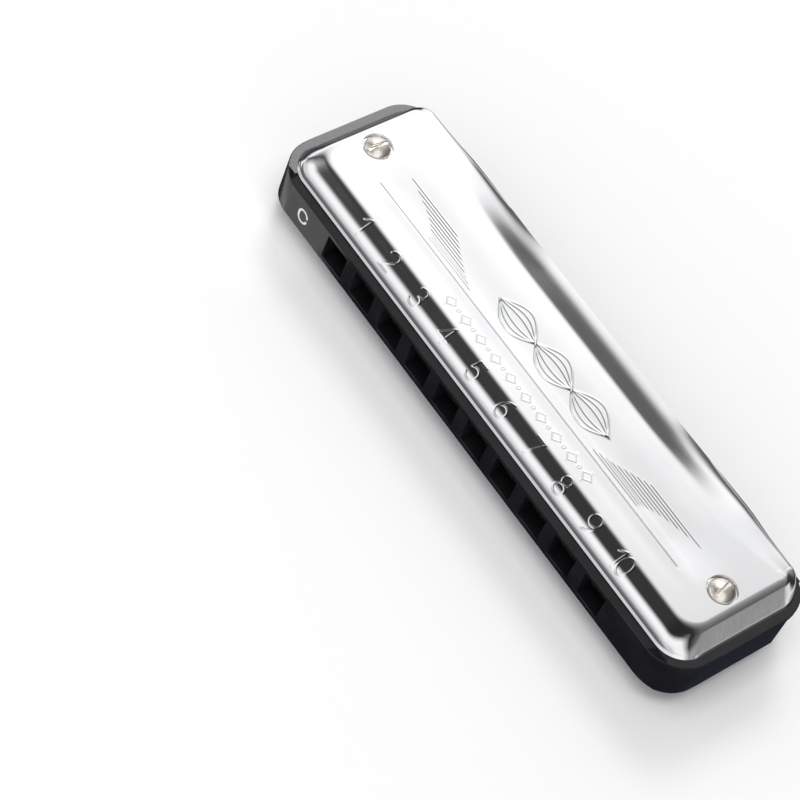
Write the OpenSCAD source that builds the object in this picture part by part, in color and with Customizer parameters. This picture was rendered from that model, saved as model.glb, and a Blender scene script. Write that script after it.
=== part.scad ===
// Ten-hole diatonic harmonica: comb, two reed plates with twenty reeds, two cover plates and fasteners.
// X runs along the row of holes with hole 1 at -X, the mouth side is -Y, and Z is up.
// The origin is the middle of the lower cover's flat land, which the harmonica rests on.

/* [Holes] */
// Number of mouth holes
hole_count = 10; // [4:1:10]
// Distance from one hole to the next
hole_pitch = 7.5; // [7.2:0.1:7.6]
// Width of a mouth hole
hole_w = 5; // [4.4:0.1:5.2]
// Height of a mouth hole
hole_h = 5.2; // [4.8:0.1:5.4]

/* [Comb] */
// Length of the comb
comb_l = 105; // [104:0.5:108]
// Depth of the comb from the mouth face to the back
comb_d = 28.6; // [28.6:0.1:30]
// Thickness of the comb
comb_h = 7.8; // [7.6:0.1:8.4]
// Radius of the comb's two front corners
comb_front_r = 6.5; // [4:0.5:8]
// Radius of the rim's two rear corners
comb_rear_r = 6; // [4:0.5:8]
// Thickness of the rim that overhangs the rear corners
rim_h = 0.9; // [0.6:0.1:1.2]
// How far the comb below the rim is set in at each rear end
rear_step = 4; // [2:0.5:5]
// Distance from the middle line back to that step
rear_step_y = 8.6; // [6:0.2:10]

/* [Reed plates] */
// Length of a reed plate
plate_l = 95; // [94.5:0.5:96]
// Front edge of the reed plates, behind the middle line when positive
plate_front_y = -11.2; // [-11.4:0.1:-11]
// Back edge of the reed plates
plate_back_y = 12.8; // [12.6:0.1:13.4]
// Thickness of a reed plate
plate_t = 0.9; // [0.8:0.05:1.05]

/* [Reeds] */
// Free length of the reed at hole 1
reed_long = 17; // [15:0.5:17]
// Free length of the reed at hole 10
reed_short = 9.5; // [9:0.5:11]
// Width of a reed
reed_w = 2.2; // [1.8:0.1:2.3]
// Thickness of a reed
reed_t = 0.2; // [0.16:0.02:0.24]
// Length of the fixed foot behind a reed's root
foot_l = 3; // [2.6:0.1:3.2]
// Front end of the blow reeds, at their tips
blow_tip_y = -8; // [-8.4:0.1:-7.6]
// Root of the draw reeds, near the mouth
draw_root_y = -7; // [-7.4:0.1:-6.8]

/* [Covers] */
// Length of a cover along its lip
cover_l = 102; // [101:0.2:102.4]
// Front lip of a cover
cover_front_y = -12.9; // [-13:0.1:-12.6]
// Rear edge of a cover in the middle of its length
cover_back_y = 14.1; // [13.8:0.1:14.2]
// How much the rear edge falls forward towards each end
cover_back_bow = 0.8; // [0.4:0.1:1]
// Height of a cover's flat land above the comb
cover_rise = 3.4; // [3.2:0.1:3.8]
// Height of a cover's rear edge above the comb
cover_back_rise = 1.4; // [1.2:0.1:2]
// Rear end of the flat land, where the rear slope starts
land_back_y = 6.2; // [5:0.2:7]
// Sheet thickness of a cover
cover_t = 0.45; // [0.35:0.05:0.6]

/* [Fasteners] */
// Distance of a cover screw from the middle
screw_x = 44.8; // [44.4:0.1:45]
// Diameter of a cover screw's shank
screw_d = 2; // [1.8:0.1:2.2]
// Diameter of a cover screw's head
head_d = 4.9; // [4:0.1:5]
// Height of a cover screw's domed head
head_h = 1.3; // [1:0.1:1.4]
// Width across a cover nut
nut_d = 4.4; // [4:0.1:4.6]
// Height of a cover nut
nut_h = 1.2; // [1:0.1:1.3]

/* [Hidden] */
$fn = 48;
eps = 0.01;
far = 200;
// Height of the comb's middle plane above the surface that the harmonica rests on
mid_z = cover_rise + comb_h / 2;
mouth_y = -comb_d / 2;
back_y = comb_d / 2;
chamber_half_h = hole_h / 2;
plate_gap = 0.1;
// Clearance round a reed in its slot, and between a reed and its plate
slot_gap = 0.06;
reed_lift = 0.03;
root_gap = 0.02;
chamber_end_gap = 0.4;
rivet_d = 1.2;
rivet_head_d = 1.7;
rivet_head_h = 0.25;
rivet_gap = 0.02;
plate_screw_d = 1.3;
plate_screw_head_d = 2.4;
plate_screw_head_h = 0.6;
plate_screw_l = 2.2;
plate_screw_gap = 0.05;
plate_screw_places = [for (i = [-4, -2, 0, 2, 4]) [i * hole_pitch, i % 4 == 0 ? 11.4 : -10]];
shank_clearance = 0.15;
// Front and end shoulder of a cover: lip, flare, arc and slope, measured inwards from the lip
flare_u = 0.65;
flare_z = 0.68;
shoulder_r = 1.7;
slope_a = 30;
cover_front_r = 5;
cover_rear_r = 4.5;
dimple_d = 5.6;
top_dimple = 0.6;
bottom_dimple = 1.7;
slot_w = 0.6;
slot_depth = 0.8;
letter_x = -42.5;
letter_h = 3;
letter_w = 2.4;
letter_line = 0.4;
letter_depth = 0.2;

function hole_x(n) = (n - (hole_count + 1) / 2) * hole_pitch;
function reed_len(n) = reed_long + (reed_short - reed_long) * (n - 1) / max(hole_count - 1, 1);
function blow_root_y(n) = blow_tip_y + reed_len(n);
function chamber_end_y(n) = blow_root_y(n) + foot_l + chamber_end_gap;

// Rectangle with its front corners rounded by one radius and its rear corners by another
module rounded_plan(half_l, front_y, rear_y, front_r, rear_r) {
    for (side = [-1, 1]) {
        translate([side * (half_l - front_r), front_y + front_r]) circle(front_r);
        translate([side * (half_l - rear_r), rear_y - rear_r]) circle(rear_r);
    }
    translate([-half_l, front_y + front_r]) square([2 * half_l, rear_y - rear_r - front_y - front_r]);
    translate([-half_l + front_r, front_y]) square([2 * (half_l - front_r), front_r + eps]);
    translate([-half_l + rear_r, rear_y - rear_r - eps]) square([2 * (half_l - rear_r), rear_r + eps]);
}

// Places its children on the axis of each cover screw
module at_cover_screws() {
    for (side = [-1, 1]) translate([side * screw_x, 0, 0]) children();
}

module plate_screw_bores(d) {
    for (p = plate_screw_places) translate([p[0], p[1], -far / 2]) cylinder(h = far, d = d);
}

// The letter's outline: a half round at each end, a straight back and an open front
module letter_outline() {
    outer_r = letter_w / 2;
    inner_r = outer_r - letter_line;
    side_h = letter_h / 2 - outer_r;
    difference() {
        union() {
            for (s = [-1, 1]) translate([0, s * side_h]) circle(outer_r);
            translate([-outer_r, -side_h]) square([letter_w, 2 * side_h]);
        }
        for (s = [-1, 1]) translate([0, s * side_h]) circle(inner_r);
        translate([-inner_r, -side_h]) square([2 * inner_r, 2 * side_h]);
        translate([0, -side_h]) square([letter_w, 2 * side_h]);
    }
}

module letter_block(depth) {
    translate([letter_x, mouth_y + depth, mid_z]) rotate([90, 0, 0]) linear_extrude(depth) letter_outline();
}

module comb_blank() {
    translate([0, 0, mid_z - comb_h / 2]) linear_extrude(comb_h) intersection() {
        rounded_plan(comb_l / 2, mouth_y, back_y, comb_front_r, 1);
        union() {
            translate([-far, mouth_y]) square([2 * far, rear_step_y - mouth_y]);
            translate([-comb_l / 2 + rear_step, mouth_y]) square([comb_l - 2 * rear_step, comb_d]);
        }
    }
    translate([0, 0, mid_z + comb_h / 2 - rim_h])
        linear_extrude(rim_h) rounded_plan(comb_l / 2, mouth_y, back_y, comb_front_r, comb_rear_r);
}

module comb() {
    recess_l = plate_l + 2 * plate_gap;
    recess_front = plate_front_y - plate_gap;
    recess_h = (comb_h - hole_h) / 2;
    color([0.03, 0.03, 0.035]) difference() {
        comb_blank();
        for (s = [0, 1]) mirror_about_middle(s)
            translate([-recess_l / 2, recess_front, chamber_half_h]) cube([recess_l, comb_d, recess_h + 1]);
        for (n = [1:hole_count])
            translate([hole_x(n) - hole_w / 2, mouth_y - 1, mid_z - chamber_half_h])
                cube([hole_w, chamber_end_y(n) - mouth_y + 1, hole_h]);
        at_cover_screws() cylinder(h = 2 * mid_z, d = screw_d + 2 * shank_clearance);
        plate_screw_bores(plate_screw_d + 2 * plate_screw_gap);
        letter_block(letter_depth);
    }
}

// Lifts its children to the middle plane, upside down when s is 1
module mirror_about_middle(s) {
    translate([0, 0, mid_z]) mirror([0, 0, s]) children();
}

module key_letter() {
    color("white") letter_block(letter_depth);
}

// A reed plate above the middle plane, with the slots' roots at root_y(n) and the tips the given way
module reed_plate(is_blow) {
    difference() {
        translate([-plate_l / 2, plate_front_y, chamber_half_h])
            cube([plate_l, plate_back_y - plate_front_y, plate_t]);
        for (n = [1:hole_count]) {
            root = is_blow ? blow_root_y(n) : draw_root_y;
            way = is_blow ? -1 : 1;
            slot_l = reed_len(n) + 2 * slot_gap;
            translate([hole_x(n) - reed_w / 2 - slot_gap, way < 0 ? root - slot_l : root, 0])
                cube([reed_w + 2 * slot_gap, slot_l, far]);
            translate([hole_x(n), root - way * foot_l / 2, 0]) cylinder(h = far, d = rivet_d + 2 * rivet_gap);
        }
        at_cover_screws() cylinder(h = far, d = screw_d + 2 * shank_clearance);
        plate_screw_bores(plate_screw_d + 2 * plate_screw_gap);
    }
}

module blow_reed_plate() {
    color([0.80, 0.65, 0.32]) mirror_about_middle(0) reed_plate(true);
}

module draw_reed_plate() {
    color([0.80, 0.65, 0.32]) mirror_about_middle(1) reed_plate(false);
}

// A reed's free tongue: a flat strip whose root is rounded about the line that it swings on
module reed_tongue(n, root, way) {
    translate([hole_x(n), root, 0]) {
        translate([-reed_w / 2, 0, 0]) rotate([0, 90, 0]) cylinder(h = reed_w, d = reed_t);
        translate([-reed_w / 2, way < 0 ? -reed_len(n) : 0, -reed_t / 2]) cube([reed_w, reed_len(n), reed_t]);
    }
}

// Height above the middle plane of the middle of the blow reeds, and below it of the draw reeds
blow_reed_z = chamber_half_h - reed_lift - reed_t / 2;
draw_reed_z = chamber_half_h + plate_t + reed_lift + reed_t / 2;

module blow_reed(n) {
    color([0.86, 0.72, 0.40]) mirror_about_middle(0) translate([0, 0, blow_reed_z])
        reed_tongue(n, blow_root_y(n), -1);
}

module draw_reed(n) {
    color([0.86, 0.72, 0.40]) mirror_about_middle(1) translate([0, 0, draw_reed_z])
        reed_tongue(n, draw_root_y, 1);
}

// The clamped end of a reed, from just behind its root
module reed_foot(n, root, way, low_z, high_z) {
    start = reed_t / 2 + root_gap;
    length = foot_l - start;
    translate([hole_x(n), root, low_z]) difference() {
        translate([-reed_w / 2, way < 0 ? start : -foot_l, 0]) cube([reed_w, length, high_z - low_z]);
        translate([0, -way * foot_l / 2, -1]) cylinder(h = 3, d = rivet_d + 2 * rivet_gap);
    }
}

module blow_reed_feet() {
    color([0.86, 0.72, 0.40]) mirror_about_middle(0) for (n = [1:hole_count])
        reed_foot(n, blow_root_y(n), -1, chamber_half_h - reed_lift - reed_t, chamber_half_h);
}

module draw_reed_feet() {
    base = chamber_half_h + plate_t;
    color([0.86, 0.72, 0.40]) mirror_about_middle(1) for (n = [1:hole_count])
        reed_foot(n, draw_root_y, 1, base, base + reed_lift + reed_t);
}

// A rivet from the plate's far face to a head on the reed's foot
module rivet(x, y, foot_z, plate_z, head_way) {
    low = min(foot_z, plate_z);
    translate([x, y, low]) cylinder(h = abs(foot_z - plate_z), d = rivet_d);
    translate([x, y, head_way > 0 ? foot_z : foot_z - rivet_head_h]) cylinder(h = rivet_head_h, d = rivet_head_d);
}

module blow_rivets() {
    color([0.75, 0.60, 0.30]) mirror_about_middle(0) for (n = [1:hole_count])
        rivet(hole_x(n), blow_root_y(n) + foot_l / 2,
            chamber_half_h - reed_lift - reed_t, chamber_half_h + plate_t, -1);
}

module draw_rivets() {
    color([0.75, 0.60, 0.30]) mirror_about_middle(1) for (n = [1:hole_count])
        rivet(hole_x(n), draw_root_y - foot_l / 2,
            chamber_half_h + plate_t + reed_lift + reed_t, chamber_half_h, 1);
}

// Pan-head screws that hold a reed plate to the comb's walls between the chambers
module plate_screws() {
    top = chamber_half_h + plate_t;
    for (p = plate_screw_places) translate([p[0], p[1], 0]) {
        translate([0, 0, top - plate_screw_l]) cylinder(h = plate_screw_l, d = plate_screw_d);
        translate([0, 0, top]) difference() {
            cylinder(h = plate_screw_head_h, d = plate_screw_head_d);
            translate([-plate_screw_head_d, -0.2, plate_screw_head_h / 2]) cube([2 * plate_screw_head_d, 0.4, 1]);
        }
    }
}

module blow_plate_screws() {
    color([0.75, 0.75, 0.72]) mirror_about_middle(0) plate_screws();
}

module draw_plate_screws() {
    color([0.75, 0.75, 0.72]) mirror_about_middle(1) plate_screws();
}

// Section of a cover's shoulder, inset by t from the outer skin: u runs inwards from the lip, z up
module shoulder_section(t) {
    floor_z = t > 0 ? -1 : 0;
    wall_u = flare_u + t;
    r = shoulder_r - t;
    centre = [flare_u + shoulder_r, flare_z];
    touch = centre + r * [-sin(slope_a), cos(slope_a)];
    land_z = cover_rise - t;
    crest_u = touch[0] + (land_z - touch[1]) / tan(slope_a);
    polygon([
        [t > 0 ? wall_u : 0, floor_z], [wall_u, flare_z], centre, touch,
        [crest_u, land_z], [far, land_z], [far, floor_z]
    ]);
    intersection() {
        translate(centre) circle(r);
        translate([0, flare_z]) square([far, far]);
    }
}

// Outside of the rear slope, inset by t: flat land, then down to the rear edge and on past it
module rear_section(t) {
    fall = (cover_rise - cover_back_rise) / (cover_back_y - land_back_y);
    end_y = cover_back_y + 5;
    polygon([
        [-far, -far], [-far, cover_rise - t], [land_back_y, cover_rise - t],
        [end_y, cover_rise - t - fall * (end_y - land_back_y)], [end_y, -far]
    ]);
}

// Solid block under a cover's skin, inset by t, above z = 0 for t = 0
module cover_block(t) {
    inset = t > 0 ? flare_u + t : 0;
    intersection() {
        rotate([90, 0, 90]) linear_extrude(far, center = true) intersection() {
            translate([cover_front_y, 0]) shoulder_section(t);
            rear_section(t);
        }
        rotate([90, 0, 0]) linear_extrude(far, center = true) intersection() {
            translate([-cover_l / 2, 0]) shoulder_section(t);
            mirror([1, 0]) translate([-cover_l / 2, 0]) shoulder_section(t);
        }
        translate([0, 0, -far / 2]) linear_extrude(far)
            rounded_plan(cover_l / 2 - inset, cover_front_y + inset, cover_back_y + (t > 0 ? 2 * cover_rear_r : 0),
                cover_front_r - inset, cover_rear_r - inset);
    }
}

// One cover plate, lip at z = 0 and land up, with a dimple of the given depth at each screw
module cover_plate(dimple) {
    bow_r = (pow(cover_l / 2, 2) + pow(cover_back_bow, 2)) / (2 * cover_back_bow);
    difference() {
        union() {
            difference() {
                cover_block(0);
                cover_block(cover_t);
            }
            intersection() {
                cover_block(0);
                at_cover_screws() translate([0, 0, cover_rise - dimple - cover_t])
                    cylinder(h = dimple + 2 * cover_t, d = dimple_d + 2 * cover_t);
            }
        }
        at_cover_screws() {
            translate([0, 0, cover_rise - dimple]) cylinder(h = far, d = dimple_d);
            cylinder(h = far, d = screw_d + 2 * shank_clearance, center = true);
        }
        difference() {
            translate([-far, 0, -far]) cube([2 * far, far, 2 * far]);
            translate([0, cover_back_y - bow_r, -far]) cylinder(h = 2 * far, r = bow_r, $fn = 720);
        }
    }
}

module top_cover() {
    color([0.86, 0.87, 0.89]) translate([0, 0, mid_z + comb_h / 2]) cover_plate(top_dimple);
}

module bottom_cover() {
    color([0.86, 0.87, 0.89]) translate([0, 0, mid_z - comb_h / 2]) mirror([0, 0, 1]) cover_plate(bottom_dimple);
}

// Domed head: a cap of a sphere over the head's diameter, cut by a slot
module screw_head(slot_turn) {
    dome_r = (pow(head_d / 2, 2) + pow(head_h, 2)) / (2 * head_h);
    difference() {
        intersection() {
            translate([0, 0, head_h - dome_r]) sphere(dome_r);
            cylinder(h = head_h, d = head_d);
        }
        rotate(slot_turn) translate([-slot_w / 2, -head_d, head_h - slot_depth]) cube([slot_w, 2 * head_d, 2]);
    }
}

module cover_screws() {
    seat_z = mid_z + comb_h / 2 + cover_rise - top_dimple;
    nut_floor = bottom_dimple;
    slot_turns = [0, 10];
    color([0.84, 0.82, 0.78]) for (i = [0, 1]) translate([(2 * i - 1) * screw_x, 0, 0]) {
        translate([0, 0, nut_floor - nut_h]) cylinder(h = seat_z - nut_floor + nut_h, d = screw_d);
        translate([0, 0, seat_z]) screw_head(slot_turns[i]);
    }
}

module cover_nuts() {
    color([0.84, 0.82, 0.78]) at_cover_screws() translate([0, 0, bottom_dimple - nut_h]) difference() {
        cylinder(h = nut_h, d = nut_d);
        cylinder(h = far, d = screw_d + 0.04, center = true);
    }
}

comb();
key_letter();
blow_reed_plate();
draw_reed_plate();
for (n = [1:hole_count]) blow_reed(n);
for (n = [1:hole_count]) draw_reed(n);
blow_reed_feet();
draw_reed_feet();
blow_rivets();
draw_rivets();
blow_plate_screws();
draw_plate_screws();
top_cover();
bottom_cover();
cover_screws();
cover_nuts();
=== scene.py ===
"""Looks of a ten-hole diatonic harmonica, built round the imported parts.

Shapes are worked out in millimetres and turned into metres when a mesh is made.
X runs along the holes, from 1 to 10, Y from the mouth side to the back, and Z up.
"""
import math

import bmesh
import bpy
import numpy as np
from mathutils import Matrix, Vector, geometry


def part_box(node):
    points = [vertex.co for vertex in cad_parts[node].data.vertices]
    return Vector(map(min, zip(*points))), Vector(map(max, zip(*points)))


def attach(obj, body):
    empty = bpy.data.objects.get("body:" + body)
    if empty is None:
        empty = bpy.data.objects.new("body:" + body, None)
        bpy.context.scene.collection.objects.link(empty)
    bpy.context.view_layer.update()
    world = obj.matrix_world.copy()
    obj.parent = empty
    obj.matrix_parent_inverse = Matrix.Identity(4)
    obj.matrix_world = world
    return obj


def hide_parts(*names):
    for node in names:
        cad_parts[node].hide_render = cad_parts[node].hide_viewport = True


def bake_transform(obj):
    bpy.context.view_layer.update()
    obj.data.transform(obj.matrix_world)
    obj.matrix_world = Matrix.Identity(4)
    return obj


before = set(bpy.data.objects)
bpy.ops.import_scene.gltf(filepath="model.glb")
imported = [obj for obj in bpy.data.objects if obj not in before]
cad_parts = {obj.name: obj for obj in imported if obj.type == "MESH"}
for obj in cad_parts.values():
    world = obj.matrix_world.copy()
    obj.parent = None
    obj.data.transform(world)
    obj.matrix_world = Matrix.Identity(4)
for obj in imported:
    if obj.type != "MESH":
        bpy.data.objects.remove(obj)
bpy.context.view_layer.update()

MM = 0.001
HOLES = 10
PITCH = 7.5


def box_mm(node):
    low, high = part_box(node)
    return np.array(low) / MM, np.array(high) / MM


def smooth(start, end, x):
    """0 at start and 1 at end, with a smooth step between; start may be the greater."""
    t = np.clip((np.asarray(x, float) - start) / (end - start), 0, 1)
    return t * t * (3 - 2 * t)


def hole_x(n):
    """Middle of a hole along X, from its number."""
    return (n - (HOLES + 1) / 2) * PITCH


# ---- lines

def circle(radius, angles):
    return [(radius * math.cos(a), radius * math.sin(a)) for a in angles]


def arc(cx, cy, rx, ry, start, end, n=18):
    """Points of an elliptic arc: centre, radii, first and last angle in degrees."""
    a = np.radians(np.linspace(start, end, n))
    return np.stack([cx + rx * np.cos(a), cy + ry * np.sin(a)], 1)


def line(*points):
    return np.array(points, float)


def fillet(points, radii, step=5.0):
    """A line through the points whose inner corners are rounded by the radii."""
    pts = [np.array(p, float) for p in points]
    out = [pts[0]]
    for b, a, c, r in zip(pts[1:-1], pts[:-2], pts[2:], radii):
        u, v = (a - b) / np.linalg.norm(a - b), (c - b) / np.linalg.norm(c - b)
        half = math.acos(float(np.clip(u @ v, -1, 1))) / 2
        middle = (u + v) / np.linalg.norm(u + v)
        centre = b + middle * r / math.sin(half)
        p, q = b + u * r / math.tan(half) - centre, b + v * r / math.tan(half) - centre
        a0 = math.atan2(p[1], p[0])
        turn = (math.atan2(q[1], q[0]) - a0 + math.pi) % (2 * math.pi) - math.pi
        n = max(2, math.ceil(abs(math.degrees(turn)) / step))
        round_angles = [a0 + turn * k / n for k in range(n + 1)]
        out += [centre + np.array(place) for place in circle(r, round_angles)]
    out.append(pts[-1])
    return np.array(out)


def resample(path, count, turn_weight=0.0):
    """The same line in count points, closer together where it turns if turn_weight says so."""
    seg = np.diff(path, axis=0)
    turn = np.abs(np.diff(np.arctan2(seg[:, 1], seg[:, 0])))
    spread = np.linalg.norm(seg, axis=1)
    spread[:-1] += turn_weight * turn / 2
    spread[1:] += turn_weight * turn / 2
    at = np.concatenate([[0], np.cumsum(spread)])
    t = np.linspace(0, at[-1], count)
    return np.stack([np.interp(t, at, path[:, 0]), np.interp(t, at, path[:, 1])], 1)


def inside(ring, point):
    """Whether a point lies inside a closed ring: how often a line to the right crosses it is odd."""
    x, y = point
    a, b = ring, np.roll(ring, -1, axis=0)
    crosses = (a[:, 1] > y) != (b[:, 1] > y)
    with np.errstate(divide="ignore", invalid="ignore"):
        at = (b[:, 0] - a[:, 0]) * (y - a[:, 1]) / (b[:, 1] - a[:, 1]) + a[:, 0]
    return bool(np.count_nonzero(crosses & (x < at)) % 2)


# ---- meshes

class Shell:
    """Vertices in millimetres and faces, put together from loops."""

    def __init__(self):
        self.v, self.f = [], []

    def add(self, points):
        first = len(self.v)
        self.v.extend([tuple(map(float, p)) for p in points])
        return list(range(first, first + len(points)))

    def strip(self, a, b):
        """Quads between two loops of the same length."""
        n = len(a)
        for i in range(n):
            j = (i + 1) % n
            self.f.append((a[i], a[j], b[j], b[i]))

    def strips(self, loops):
        for a, b in zip(loops, loops[1:]):
            self.strip(a, b)

    def fill(self, outer, holes, inner, height, up=True):
        """Triangles between an outer loop and hole loops, through the inner points (x, y).

        A triangle whose corners all lie on one loop is dropped: it fills a hole, or a hollow of the outline.
        It stays if the loop is the outline and the triangle is inside it.
        """
        loops = [outer, *holes]
        known = [i for loop in loops for i in loop]
        plan = [Vector(self.v[i][:2]) for i in known] + [Vector(p) for p in inner]
        edges, owner, first = [], [], 0
        for number, loop in enumerate(loops):
            n = len(loop)
            edges += [(first + k, first + (k + 1) % n) for k in range(n)]
            owner += [number] * n
            first += n
        got, _, faces, came_from, _, _ = geometry.delaunay_2d_cdt(plan, edges, [], 0, 1e-6)
        new = self.add([(p[0], p[1], height(p[0], p[1])) for p in inner]) if len(inner) else []
        target = known + new
        owner += [-1] * len(new)
        index = [target[c[0]] if c else None for c in came_from]
        whose = [owner[c[0]] if c else -2 for c in came_from]
        ring = np.array([self.v[i][:2] for i in outer])
        made = []
        for face in faces:
            if any(index[i] is None for i in face):
                continue
            groups = {whose[i] for i in face}
            if len(groups) == 1 and groups != {-1}:
                group = groups.pop()
                if group > 0:
                    continue
                centre = sum((got[i] for i in face), Vector((0, 0))) / 3
                if not inside(ring, centre):
                    continue
            made.append(tuple(index[i] for i in face))
        self.f.extend(made if up else [tuple(reversed(t)) for t in made])

    def lathe(self, profile, angles):
        """Rings round the z axis, joined in turn: out at the bottom, up, then in at the top."""
        rings = []
        for r, h in profile:
            rings.append(self.add([(x, y, h) for x, y in circle(r, angles)] if r > 0 else [(0, 0, h)]))
        for a, b in zip(rings, rings[1:]):
            if len(a) == len(b):
                self.strip(a, b)
            elif len(a) == 1:
                self.f.extend((a[0], b[(i + 1) % len(b)], b[i]) for i in range(len(b)))
            else:
                self.f.extend((a[i], a[(i + 1) % len(a)], b[0]) for i in range(len(a)))
        return rings

    def join(self, other, place, up=1):
        """Adds another shell at a place, upside down when up is -1."""
        first = len(self.v)
        self.v.extend((place[0] + x, place[1] + y, place[2] + up * z) for x, y, z in other.v)
        self.f.extend(tuple(first + i for i in (f if up > 0 else reversed(f))) for f in other.f)

    def mesh(self, name, smooth_angle):
        """The piece, shaded smooth, with a sharp edge where two faces meet at more than the angle."""
        data = bpy.data.meshes.new(name)
        data.from_pydata([Vector(p) * MM for p in self.v], [], self.f)
        data.validate()
        data.update()
        data.polygons.foreach_set("use_smooth", [True] * len(data.polygons))
        data.set_sharp_from_angle(angle=math.radians(smooth_angle))
        return placed(name, data)


def placed(name, data):
    """A new object of the scene."""
    thing = bpy.data.objects.new(name, data)
    bpy.context.scene.collection.objects.link(thing)
    return thing


# ---- covers

top_lo, top_hi = box_mm("top_cover")
LOW_COVER_Z = box_mm("bottom_cover")[1][2]
HALF_L = top_hi[0]
FRONT_Y, BACK_Y = top_lo[1], top_hi[1]
RISE = top_hi[2] - top_lo[2]  # from the lip up to the land, the cover's flat top
SHEET = 0.45

# outline: the rear edge is a wide arc that bows out by BOW
BOW = 0.8
BOW_R = (HALF_L ** 2 + BOW ** 2) / (2 * BOW)
FRONT_R, REAR_R = 5.0, 4.5  # the outline's corners
LAND_R = 3.2  # the land's front corners

# front and ends: the lip flares out, FRONT_U and END_U are how far in the land starts
LIP_U, LIP_Z, LIP_ROUND = 0.26, 0.43, 0.5
FRONT_U, END_U = 4.4, 3.52
WALL_U, WALL_Z = 0.695, 2.0
FRONT_CREST_U, END_CREST_U = 3.70, 2.62

# rear slope: from a crease in the land down to an open edge that is higher near the ends
CREASE_Y, CREASE_END_Y, CREASE_TURN_X = 6.1, 9.4, 35.0
EDGE_RISE, EDGE_RISE_AT_SIDES = 1.4, 2.4
SIDE_START_X, SIDE_FULL_X = 14, 44
CORNER_LIFT, CORNER_PINCH = 0.5, 0.15
FADE_L = 12.0

# screw dimples
SCREW_X = 44.8
DIMPLE_R, BORE_R = 2.62, 1.15
TOP_DIMPLE, LOW_DIMPLE = 0.6, 1.7
ROUND_STEP = 7.5  # degrees between the points of the round holes and heads


def front_section():
    """Flared lip, steep wall, wide arc and slope of the front shoulder, as (inwards from the lip, up)."""
    corners = [(0, 0), (LIP_U, LIP_Z), (WALL_U, WALL_Z), (FRONT_CREST_U, RISE), (FRONT_U, RISE)]
    return fillet(corners, [LIP_ROUND, 3.1, 2.6], 3.0)


def end_section():
    """Flared lip, straight flank and round crest of an end."""
    return fillet([(0, 0), (LIP_U, LIP_Z), (END_CREST_U, RISE), (END_U, RISE)], [LIP_ROUND, 1.75], 3.0)


def rear_section(steepest, at_edge, ease, hold, rise, roll=0):
    """The rear slope from the edge up to the crease.

    Its fall in degrees grows to steepest until ease and lessens to at_edge after hold, both as parts of the
    way from crease to edge. Towards the edge the slope rolls over by roll degrees more.
    """
    slope_u, crease_u, roll_start = 7.9, 8.1, 0.70
    part = np.linspace(0, 1, 80)
    lessened = 1 - (1 - at_edge / steepest) * smooth(hold, 1.0, part)
    fall = steepest * smooth(0, ease, part) * lessened + roll * smooth(roll_start, 1.0, part)
    down = np.concatenate([[0], np.cumsum(np.tan(np.radians((fall[1:] + fall[:-1]) / 2)))])
    slope = np.stack([slope_u * (1 - part), RISE - (RISE - rise) * down / down[-1]], 1)[::-1]
    return np.concatenate([slope, [(crease_u, RISE)]])


def sections(steps):
    """Each section as fractions of its width and height, in so many points from lip to crest.

    In order: front, end, rear in the middle, and rear near the ends.
    """
    made = []
    for path in (front_section(), end_section(), rear_section(20, 7, 0.34, 0.42, EDGE_RISE),
                 rear_section(8, 8, 0.42, 0.6, EDGE_RISE_AT_SIDES, 64)):
        path = resample(path, steps, 0.5)
        low = path[0, 1]
        made.append(np.stack([path[:, 0] / path[-1, 0], (path[:, 1] - low) / (RISE - low)], 1))
    return made


def back_line(x):
    """The bowed rear edge."""
    return BACK_Y - x * x / (2 * BOW_R)


# A row of the shoulder holds the place on the lip (x, y), the way inwards (x, y), the shoulder's width, the
# lip's height, and the shares of the four sections.

def front_corner(count):
    """Rows of the front corner at +X, from the front to the end: the land's corner has its own radius."""
    x0, y0 = HALF_L - END_U - LAND_R, FRONT_Y + FRONT_U + LAND_R
    round_lip = arc(HALF_L - FRONT_R, FRONT_Y + FRONT_R, FRONT_R, FRONT_R, -90, 0, 40)
    lip = resample(np.concatenate([[(x0, FRONT_Y)], round_lip, [(HALF_L, y0)]]), count + 1)[:-1]
    crest = resample(arc(x0, y0, LAND_R, LAND_R, -90, 0, 40), count + 1)[:-1]
    rows = []
    for k, (p, q) in enumerate(zip(lip, crest)):
        share = float(smooth(0.08, 0.92, k / count))
        width = math.dist(p, q)
        rows.append((*p, *((q - p) / width), width, 0, 1 - share, share, 0, 0))
    return rows


def mirrored(rows):
    """The same rows at -X, in the order that runs on round the lip."""
    return [(-x, y, -nx, ny, *rest) for x, y, nx, ny, *rest in reversed(rows)]


def rear_corner(count, corner_x, lean, start_y):
    """Rows of the end at +X and of the rear corner, where the end's flank turns into the rear slope."""
    corner_y = back_line(corner_x) - REAR_R * math.cos(lean)
    rear_u = back_line(corner_x) - CREASE_END_Y
    straight = np.linspace(start_y, corner_y, 17)[:-1]
    rows = [(HALF_L, y, -1, 0, END_U, 0, 0, 1, 0, 0) for y in straight]
    for k in range(count):
        a = (math.pi / 2 - lean) * k / count
        round_share = float(smooth(5, 88, math.degrees(a)))
        lift = EDGE_RISE_AT_SIDES * CORNER_LIFT * float(smooth(20, 90, math.degrees(a)))
        width = (END_U + (rear_u - END_U) * round_share) * (1 - CORNER_PINCH * math.sin(2 * a) ** 2)
        out_x, out_y = math.cos(a), math.sin(a)
        rows.append((corner_x + REAR_R * out_x, corner_y + REAR_R * out_y, -out_x, -out_y, width, lift,
                     0, 1 - round_share, 0, round_share))
    return rows


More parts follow.
